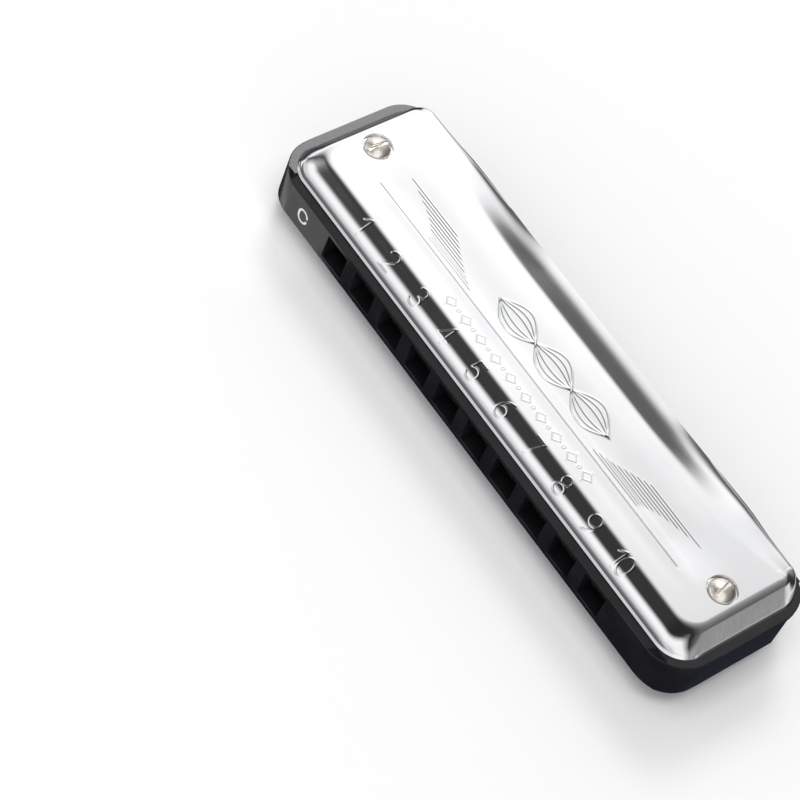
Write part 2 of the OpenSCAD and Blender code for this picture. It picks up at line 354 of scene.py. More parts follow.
def rear_row(x, corner_x):
    """One row of the rear edge: near the ends the crease runs back, and the edge comes down to the comb."""
    crease = CREASE_Y + (CREASE_END_Y - CREASE_Y) * float(smooth(CREASE_TURN_X, corner_x + 2.5, abs(x)))
    tilt = math.asin(max(-1, min(1, x / BOW_R)))
    share = float(smooth(CREASE_TURN_X, corner_x, abs(x)))
    side = float(smooth(SIDE_START_X, SIDE_FULL_X, abs(x)))
    near = float(smooth(corner_x - FADE_L, corner_x, abs(x)))
    rise = (EDGE_RISE + (EDGE_RISE_AT_SIDES - EDGE_RISE) * side) * (1 - near * (1 - CORNER_LIFT))
    y = back_line(x)
    return x, y, -math.sin(tilt) * share, -math.cos(tilt * share), y - crease, rise, 0, 0, 1 - side, side


def stations(numeral_step):
    """All rows round the lip, once, closer together across the numerals."""
    straight = HALF_L - END_U - LAND_R
    xs = [-straight]
    for n in range(1, HOLES + 1):
        reach = TEN_REACH if n == HOLES else NUMERAL_REACH
        start, end = hole_x(n) - reach, hole_x(n) + reach
        gap = max(1, round((start - xs[-1]) / 0.8))
        xs += list(np.linspace(xs[-1], start, gap + 1)[1:])
        xs += list(np.linspace(start, end, round((end - start) / numeral_step) + 1)[1:])
    xs += list(np.linspace(xs[-1], straight, 10)[1:])
    front = [(x, FRONT_Y, 0, 1, FRONT_U, 0, 1, 0, 0, 0) for x in xs[:-1]]
    corner = front_corner(30)
    corner_x = HALF_L - REAR_R
    lean = math.asin(corner_x / BOW_R)
    start_y = FRONT_Y + FRONT_U + LAND_R
    rear = rear_corner(22, corner_x, lean, start_y)
    sides = [corner_x - 0.35 * k for k in range(26)]
    middle = list(np.linspace(sides[-1], -sides[-1], 65)[1:-1])
    back = [rear_row(x, corner_x) for x in (*sides, *middle, *[-x for x in reversed(sides)])]
    end_row = (-HALF_L, start_y, 1, 0, END_U, 0, 0, 1, 0, 0)
    left_rear, left_front = mirrored(rear)[:-1], mirrored(corner)[:-1]
    return np.array([*front, *corner, *rear, *back[:-1], *left_rear, end_row, *left_front], float)


# Strokes of the numerals, as arcs and lines in a box one high and about 0.6 wide, with x = 0 in its middle.
SIX_BACK = arc(0.27, 0.30, 0.555, 0.70, 180, 98)
NUMERALS = {
    "0": [arc(0, 0.5, 0.28, 0.5, 0, 360, 40)],
    "1": [line((0.15, 0), (0.15, 1), (-0.17, 0.72))],
    "2": [np.concatenate([arc(0, 0.71, 0.28, 0.29, 165, -35), line((-0.29, 0), (0.30, 0))])],
    "3": [arc(-0.02, 0.755, 0.25, 0.245, 150, -88), arc(-0.02, 0.265, 0.29, 0.265, 88, -155)],
    "4": [line((0.12, 0), (0.12, 1), (-0.31, 0.28), (0.31, 0.28))],
    "5": [line((0.24, 1), (-0.19, 1), (-0.25, 0.54)), arc(-0.01, 0.325, 0.29, 0.325, 138, -152)],
    "6": [arc(0, 0.30, 0.285, 0.30, 0, 360, 34), SIX_BACK],
    "7": [line((-0.27, 1), (0.29, 1), (-0.08, 0))],
    "8": [arc(0, 0.76, 0.225, 0.24, 0, 360, 30), arc(0, 0.26, 0.28, 0.26, 0, 360, 34)],
    "9": [arc(0, 0.70, 0.285, 0.30, 0, 360, 34), np.array([0, 1.0]) - SIX_BACK],
}
NUMERAL_TOP, NUMERAL_FOOT = 0.55, 3.88  # distances down from the crest
NUMERAL_W = 3.65  # millimetres for a width of 1 in the strokes
NUMERAL_REACH, TEN_REACH = 1.55, 2.2  # half widths that need closer rows
TEN = (("1", -0.36), ("0", 0.17))


def distance_to(points, stroke):
    """Least distance from each point to a stroke's line segments."""
    a, b = stroke[:-1], stroke[1:]
    ab = b - a
    ap = points[:, None, :] - a[None]
    t = np.clip((ap * ab).sum(2) / np.maximum((ab * ab).sum(1), 1e-12), 0, 1)
    return np.linalg.norm(ap - t[..., None] * ab, axis=2).min(1)


def ridge(distance, half_width, height):
    """Height of a rounded ridge at a distance from its middle line."""
    t = np.clip(1 - (distance / half_width) ** 2, 0, None)
    return height * t * t


def numeral_height(x, down):
    """Height of the raised numerals at a place along the front and a distance down from the crest."""
    half_width, high = 0.19, 0.06
    tall = NUMERAL_TOP - NUMERAL_FOOT
    out = np.zeros_like(x)
    for n in range(1, HOLES + 1):
        glyphs = TEN if n == HOLES else ((str(n), 0.0),)
        near = np.abs(x - hole_x(n)) < TEN_REACH + 0.1
        if not near.any():
            continue
        places = np.stack([x[near], down[near]], 1)
        for glyph, shift in glyphs:
            for stroke in NUMERALS[glyph]:
                path_x = hole_x(n) + (stroke[:, 0] + shift) * NUMERAL_W
                path = np.stack([path_x, NUMERAL_FOOT + tall * stroke[:, 1]], 1)
                out[near] = np.maximum(out[near], ridge(distance_to(places, path), half_width, high))
    return out


# The pressed pattern on the upper cover's land. Heights are measured from its flat rim.
LINE_Y, LINE_X, LINE_HALF_L = -3.85, -0.25, 38.7
LINE_W, LINE_DEPTH = 0.17, 0.05
CHANNEL_BACK_Y, CHANNEL_DEPTH = 4.9, 0.24
DIP_FRONT_Y, DIP_Y, DIP_DEPTH = -7.2, -5.6, 0.045
RELIEF_FULL_X, RELIEF_END_X = 33, 43  # the channel and the dip run out between these
STRIPE_BACK_Y, STRIPE_PITCH, STRIPES = 1.6, 0.5, 10
STRIPE_W, STRIPE_HEIGHT = 0.17, 0.04
WAVE_START_X, WAVE_END_X, WAVE_Y = -12.6, 15.4, 0.75
WAVE_SIZES = (2.75, 1.75, 0.75)
WAVE_W, WAVE_HEIGHT = 0.2, 0.05
BORDER_X, BORDER_Y, BORDER_PITCH, BORDER_COUNT = -15.6, -6.7, 1.95, 19
BORDER_W = 0.14


def stripe_ends(y):
    """Where a pressed stripe of the left group starts and ends; the right group mirrors it."""
    front_y = STRIPE_BACK_Y - (STRIPES - 1) * STRIPE_PITCH
    start = -27.2 - 10.1 * ((y - front_y) / (STRIPE_BACK_Y - front_y)) ** 2.2
    return start, -25.3 + (STRIPE_BACK_Y - y) * 2.07


def wave_distance(x, y, size):
    """Distance to one line of the centre ornament, a standing wave with three loops."""
    k = 3 * math.pi / (WAVE_END_X - WAVE_START_X)
    on_line = np.clip(x, WAVE_START_X, WAVE_END_X)
    phase = k * (on_line - WAVE_START_X)
    across = np.abs(y - WAVE_Y - size * np.sin(phase)) / np.sqrt(1 + (size * k * np.cos(phase)) ** 2)
    return np.hypot(x - on_line, across)


def border(x, y):
    """A row of small raised lozenges and dots in front of the long line."""
    out = np.zeros_like(x)
    for k in range(BORDER_COUNT):
        cx = BORDER_X + k * BORDER_PITCH
        near = (np.abs(x - cx) < 1.4) & (np.abs(y - BORDER_Y) < 1.3)
        dx, dy = x[near] - cx, y[near] - BORDER_Y
        if k % 2:
            shape = ridge(np.hypot(dx, dy) - 0.28, BORDER_W, 0.03)
        else:
            shape = ridge((np.abs(dx) * 0.95 + np.abs(dy) * 1.15 - 1.0) / 1.49, BORDER_W, 0.035)
        out[near] = np.maximum(out[near], shape)
    return out


def land_relief(x, y):
    """Height of the whole pattern: channel, dip, long line, stripes, centre ornament and border."""
    ends = smooth(RELIEF_END_X, RELIEF_FULL_X, np.abs(x))
    falls = smooth(LINE_Y - 0.15, LINE_Y + 2.3, y)
    rises = smooth(LINE_Y + 2.0, CHANNEL_BACK_Y + 0.2, y)
    out = -CHANNEL_DEPTH * (falls - rises) * ends
    out -= DIP_DEPTH * (smooth(DIP_FRONT_Y, DIP_Y, y) * smooth(LINE_Y - 0.1, DIP_Y, y)) * ends
    past_line = np.clip(np.abs(x - LINE_X) - LINE_HALF_L, 0, None)
    out -= ridge(np.hypot(past_line, y - LINE_Y), LINE_W, LINE_DEPTH)
    for k in range(STRIPES):
        stripe_y = STRIPE_BACK_Y - STRIPE_PITCH * k
        start, end = stripe_ends(stripe_y)
        for sign in (1, -1):
            past = np.clip(start - sign * x, 0, None) + np.clip(sign * x - end, 0, None)
            out += ridge(np.hypot(past, y - stripe_y), STRIPE_W, STRIPE_HEIGHT)
    for size in WAVE_SIZES:
        for sign in (1, -1):
            out += ridge(wave_distance(x, y, size * sign), WAVE_W, WAVE_HEIGHT)
    return out + border(x, y)


def grid_points(x0, x1, dx, y0, y1, dy):
    """Points of a grid with steps near dx and dy."""
    xs = np.linspace(x0, x1, max(2, round((x1 - x0) / dx) + 1))
    ys = np.linspace(y0, y1, max(2, round((y1 - y0) / dy) + 1))
    gx, gy = np.meshgrid(xs, ys)
    return np.stack([gx.ravel(), gy.ravel()], 1)


def land_points(detailed):
    """Places of the land's own vertices: fine where the pattern is, coarse elsewhere."""
    coarse = grid_points(-47, 47, 1.0, -9, 9.5, 0.5)
    if not detailed:
        return coarse
    border_end = BORDER_X + (BORDER_COUNT - 1) * BORDER_PITCH
    boxes = [(-39.7, 39.2, 0.5, LINE_Y - 0.4, LINE_Y + 0.4, 0.08),
             (BORDER_X - 1.2, border_end + 1.2, 0.1, BORDER_Y - 1.0, BORDER_Y + 1.0, 0.09),
             (-38.6, -14.4, 0.35, -3.4, 2.1, 0.0733),
             (14.8, 38.6, 0.35, -3.4, 2.1, 0.0733),
             (-13.4, 14.7, 0.15, -2.6, 4.3, 0.1)]
    fine = [grid_points(*b) for b in boxes]
    free = np.ones(len(coarse), bool)
    for x0, x1, _, y0, y1, _ in boxes:
        inside_x = (coarse[:, 0] > x0 - 0.2) & (coarse[:, 0] < x1 + 0.2)
        inside_y = (coarse[:, 1] > y0 - 0.1) & (coarse[:, 1] < y1 + 0.1)
        free &= ~(inside_x & inside_y)
    return np.concatenate([coarse[free], *fine])


def clear_of(points, ring, gap):
    """The points inside a ring that keep a gap to its corners, worked out in batches to save memory."""
    batch = 2000
    keep = np.ones(len(points), bool)
    for i in range(0, len(points), batch):
        part = points[i:i + batch]
        away = np.sqrt(((part[:, None] - ring[None]) ** 2).sum(2)).min(1) > gap
        keep[i:i + batch] = away & [inside(ring, p) for p in part]
    return points[keep]


def dimple_line(depth):
    """Half section of a screw's dimple, from the land to the bore; the deeper one has the steeper wall."""
    floor_r = 2.36 if depth == TOP_DIMPLE else 2.42
    corners = [(DIMPLE_R, 0), (DIMPLE_R - 0.12, 0), (floor_r, -depth), (BORE_R, -depth)]
    return fillet(corners, [0.11, 0.1], 12)


def shoulder(rows, steps):
    """The shoulder all round, each row in so many steps: u inwards from the lip, z up, and the normal."""
    width, edge, shares = rows[:, 4], rows[:, 5], rows[:, 6:10]
    shapes = sections(steps)
    u = sum(shares[:, i, None] * shape[None, :, 0] for i, shape in enumerate(shapes)) * width[:, None]
    up = sum(shares[:, i, None] * shape[None, :, 1] for i, shape in enumerate(shapes))
    z = edge[:, None] + (RISE - edge[:, None]) * up
    du, dz = np.gradient(u, axis=1), np.gradient(z, axis=1)
    size = np.hypot(du, dz)
    return u, z, -dz / size, du / size


def raise_numerals(rows, u, z, nu, nz):
    """Lifts the numerals out of the straight part of the front shoulder, in place."""
    steps = u.shape[1]
    down = np.cumsum(np.hypot(np.diff(u, axis=1), np.diff(z, axis=1))[:, ::-1], axis=1)[:, ::-1]
    down = np.concatenate([down, np.zeros((len(rows), 1))], 1)
    front = (np.abs(rows[:, 0]) < HALF_L - FRONT_R) & (rows[:, 1] < FRONT_Y + 0.01)
    places = np.repeat(rows[front, :1], steps, 1).ravel()
    lift = numeral_height(places, down[front].ravel()).reshape(-1, steps)
    u[front] += nu[front] * lift
    z[front] += nz[front] * lift


def cover(name, node, side, depth, detailed):
    """A stamped cover as one closed sheet: side 1 is the upper one, -1 the lower one."""
    base = top_lo[2] if side > 0 else LOW_COVER_Z
    shell = Shell()
    rows = stations(0.105 if detailed else 1.2)
    steps = 70 if detailed else 40
    place, way, edge = rows[:, :2], rows[:, 2:4], rows[:, 5]
    way = way / np.linalg.norm(way, axis=1)[:, None]
    u, z, nu, nz = shoulder(rows, steps)
    if detailed:
        raise_numerals(rows, u, z, nu, nz)
    angles = np.radians(np.arange(0, 360, ROUND_STEP))

    def loop(uu, zz):
        plan = place + way * uu[:, None]
        return shell.add([(p[0], p[1], h) for p, h in zip(plan, zz)])

    def ring(sign, radius, height):
        return shell.add([(sign * SCREW_X + x, y, RISE + height) for x, y in circle(radius, angles)])

    def plan_of(loop_indices):
        return np.array([shell.v[i][:2] for i in loop_indices])

    # the outside: shoulder, dimples and land
    outer = [loop(u[:, k], z[:, k]) for k in range(steps)]
    shell.strips(outer)
    dimples = []
    for sign in (-1, 1):
        rings = [ring(sign, r, h) for r, h in dimple_line(depth)]
        shell.strips(rings)
        dimples.append(rings)
    land = clear_of(land_points(detailed), plan_of(outer[-1]), 0.18)
    for sign in (-1, 1):
        land = land[np.hypot(land[:, 0] - sign * SCREW_X, land[:, 1]) > DIMPLE_R + 0.12]
    relief = land_relief(land[:, 0], land[:, 1]) if detailed else np.zeros(len(land))
    heights = {tuple(np.round(p, 7)): RISE + h for p, h in zip(land, relief)}
    shell.fill(outer[-1], [rings[0] for rings in dimples], land,
               lambda x, y: heights[tuple(np.round((x, y), 7))])

    # the inside, one sheet thickness behind it, in fewer loops; it stays above the comb
    inside_z = -SHEET - 0.05
    under = []
    for k in np.linspace(0, steps - 1, 12).round().astype(int):
        uu, zz = u[:, k] - nu[:, k] * SHEET, z[:, k] - nz[:, k] * SHEET
        if k == 0:
            zz = np.where(edge < 0.05, 0, zz)
        zz = np.maximum(zz, 0)
        if k == steps - 1:
            zz = np.full(len(rows), RISE + inside_z)
        under.append(loop(uu, zz))
    shell.strip(under[0], outer[0])
    for a, b in zip(under, under[1:]):
        shell.strip(b, a)
    bottoms = []
    for sign, rings in zip((-1, 1), dimples):
        lower = [ring(sign, BORE_R, -depth - SHEET), ring(sign, DIMPLE_R + 0.02, -depth - SHEET),
                 ring(sign, DIMPLE_R + 0.12, inside_z)]
        shell.strips([rings[-1], *lower])
        bottoms.append(lower[-1])
    coarse = clear_of(grid_points(-46, 46, 4, -8, 8, 4), plan_of(under[-1]), 1.0)
    coarse = coarse[np.abs(np.abs(coarse[:, 0]) - SCREW_X) > 4]
    shell.fill(under[-1], bottoms, coarse, lambda x, y: RISE + inside_z, up=False)

    shell.v = [(x, y, base + side * h) for x, y, h in shell.v]
    if side < 0:
        shell.f = [tuple(reversed(f)) for f in shell.f]
    fixed(shell.mesh(name, 50), "cover_chrome", node)


# ---- materials

def material(name, base, metallic, roughness):
    m = bpy.data.materials.new(name)
    m.use_nodes = True
    shader = m.node_tree.nodes["Principled BSDF"]
    shader.inputs["Base Color"].default_value = (*base, 1)
    shader.inputs["Metallic"].default_value = metallic
    shader.inputs["Roughness"].default_value = roughness
    return m, shader


class Nodes:
    """Short ways to add shader nodes to one material."""

    def __init__(self, m):
        self.tree = m.node_tree

    def add(self, kind, **values):
        """A node with properties and inputs set; _ stands for a space in an input's name."""
        node = self.tree.nodes.new(kind)
        for key, value in values.items():
            if hasattr(node, key):
                setattr(node, key, value)
            else:
                node.inputs[key.replace("_", " ")].default_value = value
        return node

    def link(self, a, b):
        self.tree.links.new(a, b)

    def place(self):
        return self.add("ShaderNodeTexCoord").outputs["Object"]

    def stretched(self, scale):
        mapping = self.add("ShaderNodeMapping", Scale=scale)
        self.link(self.place(), mapping.inputs["Vector"])
        return mapping.outputs["Vector"]

    def noise(self, vector, scale, detail=4.0, rough=0.5):
        node = self.add("ShaderNodeTexNoise", Scale=scale, Detail=detail, Roughness=rough)
        self.link(vector, node.inputs["Vector"])
        return node.outputs["Fac"]

    def ramp(self, value, low, high, to_low, to_high):
        """The value from low to high, spread from to_low to to_high and held at both."""
        node = self.add("ShaderNodeMapRange", From_Min=low, From_Max=high, To_Min=to_low, To_Max=to_high)
        self.link(value, node.inputs["Value"])
        return node.outputs["Result"]

    def math(self, operation, a, b):
        """An operation on two values, each a number or a socket."""
        node = self.add("ShaderNodeMath", operation=operation)
        for socket, value in zip(node.inputs, (a, b)):
            if isinstance(value, (int, float)):
                socket.default_value = value
            else:
                self.link(value, socket)
        return node.outputs[0]

    def plus(self, a, b):
        return self.math("ADD", a, b)

    def times(self, a, b):
        return self.math("MULTIPLY", a, b)

    def mix(self, factor, a, b):
        node = self.add("ShaderNodeMix", data_type="RGBA")
        node.inputs[6].default_value = (*a, 1)
        node.inputs[7].default_value = (*b, 1)
        self.link(factor, node.inputs[0])
        return node.outputs[2]

    def bump(self, height, strength, distance, shader):
        node = self.add("ShaderNodeBump", Strength=strength, Distance=distance)
        self.link(height, node.inputs["Height"])
        self.link(node.outputs["Normal"], shader.inputs["Normal"])


def metal(name, light, dark, rough, scratch, stretch, bump):
    """A metal in two shades, whose roughness varies along fine lines; stretch draws the lines out."""
    m, shader = material(name, light, 1.0, rough[0])
    n = Nodes(m)
    spots = n.noise(n.place(), 90.0, 3.0)
    n.link(n.mix(n.ramp(spots, 0.35, 0.7, 0.0, 1.0), light, dark), shader.inputs["Base Color"])
    lines = n.noise(n.stretched(stretch), scratch, 3.0, 0.6)
    n.link(n.ramp(lines, 0.3, 0.75, rough[0], rough[1]), shader.inputs["Roughness"])
    n.bump(lines, bump, 0.00002, shader)
    return m


def plastic():
    m, shader = material("comb_plastic", (0.012, 0.012, 0.014), 0.0, 0.16)
    n = Nodes(m)
    spots = n.noise(n.place(), 220.0, 4.0)
    shades = n.mix(n.ramp(spots, 0.35, 0.65, 0.0, 1.0), (0.007, 0.007, 0.008), (0.012, 0.012, 0.014))
    n.link(shades, shader.inputs["Base Color"])
    fine = n.noise(n.place(), 5200.0, 3.0, 0.6)
    n.link(n.ramp(fine, 0.3, 0.7, 0.12, 0.24), shader.inputs["Roughness"])
    n.bump(fine, 0.10, 0.00003, shader)
    shader.inputs["Specular IOR Level"].default_value = 0.4
    return m


def ink():
    m, shader = material("letter_ink", (0.80, 0.80, 0.80), 0.0, 0.5)
    n = Nodes(m)
    fine = n.noise(n.place(), 3500.0, 4.0)
    shades = n.mix(n.ramp(fine, 0.3, 0.7, 0.0, 1.0), (0.86, 0.86, 0.87), (0.72, 0.72, 0.73))
    n.link(shades, shader.inputs["Base Color"])
    n.link(n.ramp(fine, 0.3, 0.7, 0.35, 0.6), shader.inputs["Roughness"])
    return m


EVEN = (1.0, 1.0, 1.0)
# by slot: name, two shades, range of roughness, then scale, stretch and bump of the fine lines
METALS = {
    "cover_chrome": (
        "cover_chrome", (0.93, 0.93, 0.94), (0.88, 0.885, 0.90), (0.07, 0.13), 900.0, (0.25, 3.0, 1.0), 0.05),
    "cover_screw_nickel": (
        "screw_nickel", (0.86, 0.82, 0.77), (0.76, 0.71, 0.65), (0.28, 0.42), 2500.0, EVEN, 0.15),
    "plate_brass": (
        "plate_brass", (0.76, 0.60, 0.29), (0.62, 0.46, 0.20), (0.22, 0.42), 1500.0, (0.15, 5.0, 1.0), 0.3),
    "reed_brass": (
        "reed_brass", (0.84, 0.69, 0.38), (0.72, 0.56, 0.28), (0.15, 0.34), 1800.0, (6.0, 0.4, 1.0), 0.35),
    "rivet_brass": (
        "rivet_brass", (0.74, 0.58, 0.30), (0.60, 0.45, 0.22), (0.25, 0.40), 1600.0, EVEN, 0.2),
    "small_screw_steel": (
        "small_screw_steel", (0.66, 0.65, 0.62), (0.52, 0.51, 0.48), (0.18, 0.36), 2000.0, EVEN, 0.2),
}
FINISH = {slot: metal(*values) for slot, values in METALS.items()}
FINISH["comb_plastic"] = plastic()
FINISH["letter_ink"] = ink()


def paint(piece, m):
    piece.data.materials.clear()
    piece.data.materials.append(m)


def finished(piece, slot, *nodes):
    """A piece that stands for CAD nodes, in the finish of its slot."""
    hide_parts(*nodes)
    paint(piece, FINISH[slot])
    return piece


def fixed(piece, slot, *nodes):
    """A finished piece that doesn't move in the harmonica."""
    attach(piece, "instrument")
    return finished(piece, slot, *nodes)


cover("upper_cover", "top_cover", 1, TOP_DIMPLE, True)
cover("lower_cover", "bottom_cover", -1, LOW_DIMPLE, False)


# ---- comb and reed plates

LEDGE_FOLD_Y, LEDGE_FALL = -13.05, 0.42
COMB_ROUND, PLATE_ROUND = 0.15, 0.07
ROUND_REACH_X, ROUND_REACH_Y = 6.6, 6.4  # how far the rounded outline runs from the ends and the mouth side
RIM_REACH_Z = 2.8
TOUCH = 1e-5  # metres within which a vertex counts as on a face
comb_lo, comb_hi = box_mm("comb")
MID_Z = (comb_lo[2] + comb_hi[2]) / 2


def slope_ledges(bm):
    """In front of the covers' lips, the comb's top and bottom fall away towards the mouth side."""
    low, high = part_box("comb")
    fold = LEDGE_FOLD_Y * MM
    everything = bm.verts[:] + bm.edges[:] + bm.faces[:]
    bmesh.ops.bisect_plane(bm, geom=everything, plane_co=(0, fold, 0), plane_no=(0, 1, 0))
    for v in bm.verts:
        fall = LEDGE_FALL * MM * max(0.0, (fold - v.co.y) / (fold - low[1]))
        if v.co.z > high[2] - TOUCH:
            v.co.z -= fall
        elif v.co.z < low[2] + TOUCH:
            v.co.z += fall


def rounded_copy(name, node, slot, width, is_round, clamp=True, ledge=False):
    """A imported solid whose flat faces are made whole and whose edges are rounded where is_round says so."""
    bm = bmesh.new()
    bm.from_mesh(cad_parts[node].data)
    bmesh.ops.remove_doubles(bm, verts=bm.verts, dist=1e-6)
    if ledge:
        slope_ledges(bm)
    bmesh.ops.dissolve_limit(bm, angle_limit=math.radians(1), verts=bm.verts, edges=bm.edges)
    bm.normal_update()
    edges = [e for e in bm.edges if len(e.link_faces) == 2 and e.calc_face_angle(0) > math.radians(35)]
    rounded = [e for e in edges if is_round(e)]
    for e in edges:
        e.smooth = False
    for e in rounded:
        e.smooth = True
    bmesh.ops.bevel(bm, geom=rounded, offset=width * MM, offset_type="OFFSET", segments=3, profile=0.5,
                    affect="EDGES", clamp_overlap=clamp)
    low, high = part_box(node)
    for v in bm.verts:
        v.co = [min(max(c, a), b) for c, a, b in zip(v.co, low, high)]
    bm.normal_update()
    for f in bm.faces:
        f.smooth = not (abs(f.normal.z) > 0.93 or f.normal.y < -0.99)
    data = bpy.data.meshes.new(name)
    bm.to_mesh(data)
    bm.free()
    piece = placed(name, data)
    piece.modifiers.new("triangles", "TRIANGULATE")
    return fixed(piece, slot, node)


def comb_rounds(edge):
    """Whether an edge is on the outline near the mouth side or on a mouth hole's rim."""
    low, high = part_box("comb")
    _, letter_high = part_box("key_letter")
    middle = (edge.verts[0].co + edge.verts[1].co) / 2
    walls = [f for f in edge.link_faces if abs(f.normal.z) < 0.1]
    front = all(v.co.y < low[1] + TOUCH for v in edge.verts)
    if front and middle.x > letter_high[0] + MM and abs(middle.z - MID_Z * MM) < RIM_REACH_Z * MM:
        return True
    level = min(high[2] - middle.z, middle.z - low[2]) < 0.5 * MM
    outward = len(walls) == 1 and walls[0].normal.x * middle.x + walls[0].normal.y * (middle.y - 0.002) > 0
    outline = abs(middle.x) > high[0] - ROUND_REACH_X * MM or front
    return level and outward and outline and middle.y < low[1] + ROUND_REACH_Y * MM


comb = rounded_copy("comb_body", "comb", "comb_plastic", COMB_ROUND, comb_rounds, clamp=False, ledge=True)
for kind in ("blow", "draw"):
    rounded_copy(f"{kind}_plate", f"{kind}_reed_plate", "plate_brass", PLATE_ROUND, lambda edge: True)


# ---- reeds

FOOT_L, REED_W, THICK = 3.0, 2.2, 0.2
REED_CORNER = 0.22
LIFT = 0.03  # gap between a free reed and its plate
SCRAPED = 0.07  # how much thinner a reed is past its root
RIVET_R = 0.6


def reed(kind, n):
    """One brass strip from its riveted foot to its tip, which bends past its root.

    w runs across the strip and s along it, from the root to the tip. Low notes have a thick tip as a weight.
    """
    node = f"{kind}_reed_{n}"
    way = -1 if kind == "blow" else 1
    lo, hi = box_mm(node)
    plate_lo, _ = box_mm(f"{kind}_reed_plate")
    x, face = (lo[0] + hi[0]) / 2, plate_lo[2]
    root, tip = (hi[1] - THICK / 2, lo[1]) if way < 0 else (lo[1] + THICK / 2, hi[1])
    length, half = abs(tip - root), REED_W / 2
    low_note = float(smooth(6, 1, n))

    def near_face(w, s):
        return LIFT * float(smooth(-0.3, 0.3, s))

    def far_face(w, s):
        weight = low_note * float(smooth(0.72 * length, 0.8 * length, s))
        scraped = SCRAPED * float(smooth(0.6, 0.3 * length, s)) * (1 - weight)
        return LIFT + THICK - scraped - 0.02 * abs(w / half) ** 8

    def corner(sign, s, start):
        return arc(sign * (half - REED_CORNER), s, REED_CORNER, REED_CORNER, start, start + 90, 5)

    edge = np.arange(-2.5, length - 0.3, 0.5)
    outline = np.concatenate([
        corner(-1, -FOOT_L + REED_CORNER, 180), corner(1, -FOOT_L + REED_CORNER, 270),
        [(half, s) for s in edge],
        corner(1, length - REED_CORNER, 0), corner(-1, length - REED_CORNER, 90),
        [(-half, s) for s in reversed(edge)]])
    hole_r = RIVET_R + 0.02
    hole = arc(0, -FOOT_L / 2, hole_r, hole_r, 0, 360, 25)[:-1]
    inner = grid_points(-half + 0.3, half - 0.3, 0.4, -FOOT_L + 0.4, length - 0.4, 0.5)
    inner = inner[np.hypot(inner[:, 0], inner[:, 1] + FOOT_L / 2) > RIVET_R + 0.25]
    shell = Shell()
    faces = []
    for height, up in ((near_face, False), (far_face, True)):
        rim = shell.add([(w, s, height(w, s)) for w, s in outline])
        bore = shell.add([(w, s, height(w, s)) for w, s in hole])
        shell.fill(rim, [bore], inner, height, up)
        faces.append((rim, bore))
    shell.strip(faces[0][0], faces[1][0])
    shell.strip(faces[1][1], faces[0][1])
    # laid face down; a blow reed is also turned end for end, which keeps its faces outwards
    shell.v = [(x + w, root + way * s, face - h) for w, s, h in shell.v]
    if way > 0:
        shell.f = [tuple(reversed(f)) for f in shell.f]
    piece = finished(shell.mesh(node + "_strip", 40), "reed_brass", node, f"{kind}_reed_feet")
    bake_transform(piece)


for kind in ("blow", "draw"):
    for n in range(1, HOLES + 1):
        reed(kind, n)


# ---- screws, nuts and rivets

HEAD_R, HEAD_EDGE = 2.2, 0.45
NUT_R, NUT_EDGE, NUT_BORE = 2.2, 1.08, 1.02
SMALL_HEAD_R, SMALL_EDGE, SMALL_CROWN = 1.2, 0.38, 0.6
PLATE_SCREWS = (-4, -2, 0, 2, 4)  # places along X, in hole pitches
SCREW_FRONT_Y, SCREW_BACK_Y = -10, 11.4


def slotted_head(radius, edge, crown, slot_w, slot_depth, turn, shank=(), bore=0):
    """A round head whose domed top is slotted, from its rim at height edge up to the crown.

    shank lists (radius, height) of a shank below it; with a bore instead, the head is a ring.
    """
    wall = 0.05
    slot_lines = [side * (slot_w / 2 + k) for side in (-1, 1) for k in (-wall, 0, wall)]
    top_r = radius - 0.12
    at_lines = [math.acos(x / top_r) for x in slot_lines]
    everywhere = [*np.radians(np.arange(0, 360, ROUND_STEP)), *at_lines, *[2 * math.pi - a for a in at_lines]]
    angles = sorted({round(a, 6) for a in everywhere})
    angles = [a for a, b in zip(angles, angles[1:] + [angles[0] + 2 * math.pi]) if b - a > 0.008]
    ball = (radius ** 2 + (crown - edge) ** 2) / (2 * (crown - edge))

    def height(x, y):
        cap = crown - ball + math.sqrt(ball ** 2 - x * x - y * y)
        cut = float(smooth(slot_w / 2 + wall, slot_w / 2 - wall, abs(x)))
        return cap + (min(cap, crown - slot_depth) - cap) * cut

    def ring_on_top(r):
        return shell.add([(x, y, height(x, y)) for x, y in circle(r, angles)])

    shell = Shell()
    rim = [(radius - 0.06, 0), (radius, 0.06), (radius, edge - 0.1), (radius - 0.03, edge - 0.03)]
    rings = shell.lathe([*(shank or [(bore, 0)]), *rim], angles)
    top = ring_on_top(top_r)
    shell.strip(rings[-1], top)
    rows = sorted({*np.linspace(-top_r, top_r, 13), *slot_lines, 0.0})
    inner = [(x, y) for x in rows for y in np.linspace(-top_r, top_r, 15)
             if bore + 0.15 < math.hypot(x, y) < top_r - 0.1]
    holes = []
    if bore:
        mouth = ring_on_top(bore + 0.06)
        holes = [mouth]
        below = shell.add([(x, y, 0.5 * edge) for x, y in circle(bore, angles)])
        shell.strips([mouth, below, rings[0]])
    shell.fill(top, holes, inner, height)
    c, q = math.cos(turn), math.sin(turn)
    shell.v = [(x * c - y * q, x * q + y * c, z) for x, y, z in shell.v]
    return shell


def end_pair(name, node, z, up, turns, *shape, **below):
    """Two slotted heads, one at each end of a cover, turned by so many degrees; below is a shank or bore."""
    shell = Shell()
    for side, turn in zip((-1, 1), turns):
        shell.join(slotted_head(*shape, math.radians(turn), **below), (side * SCREW_X, 0, z), up)
    fixed(shell.mesh(name, 30), "cover_screw_nickel", node)


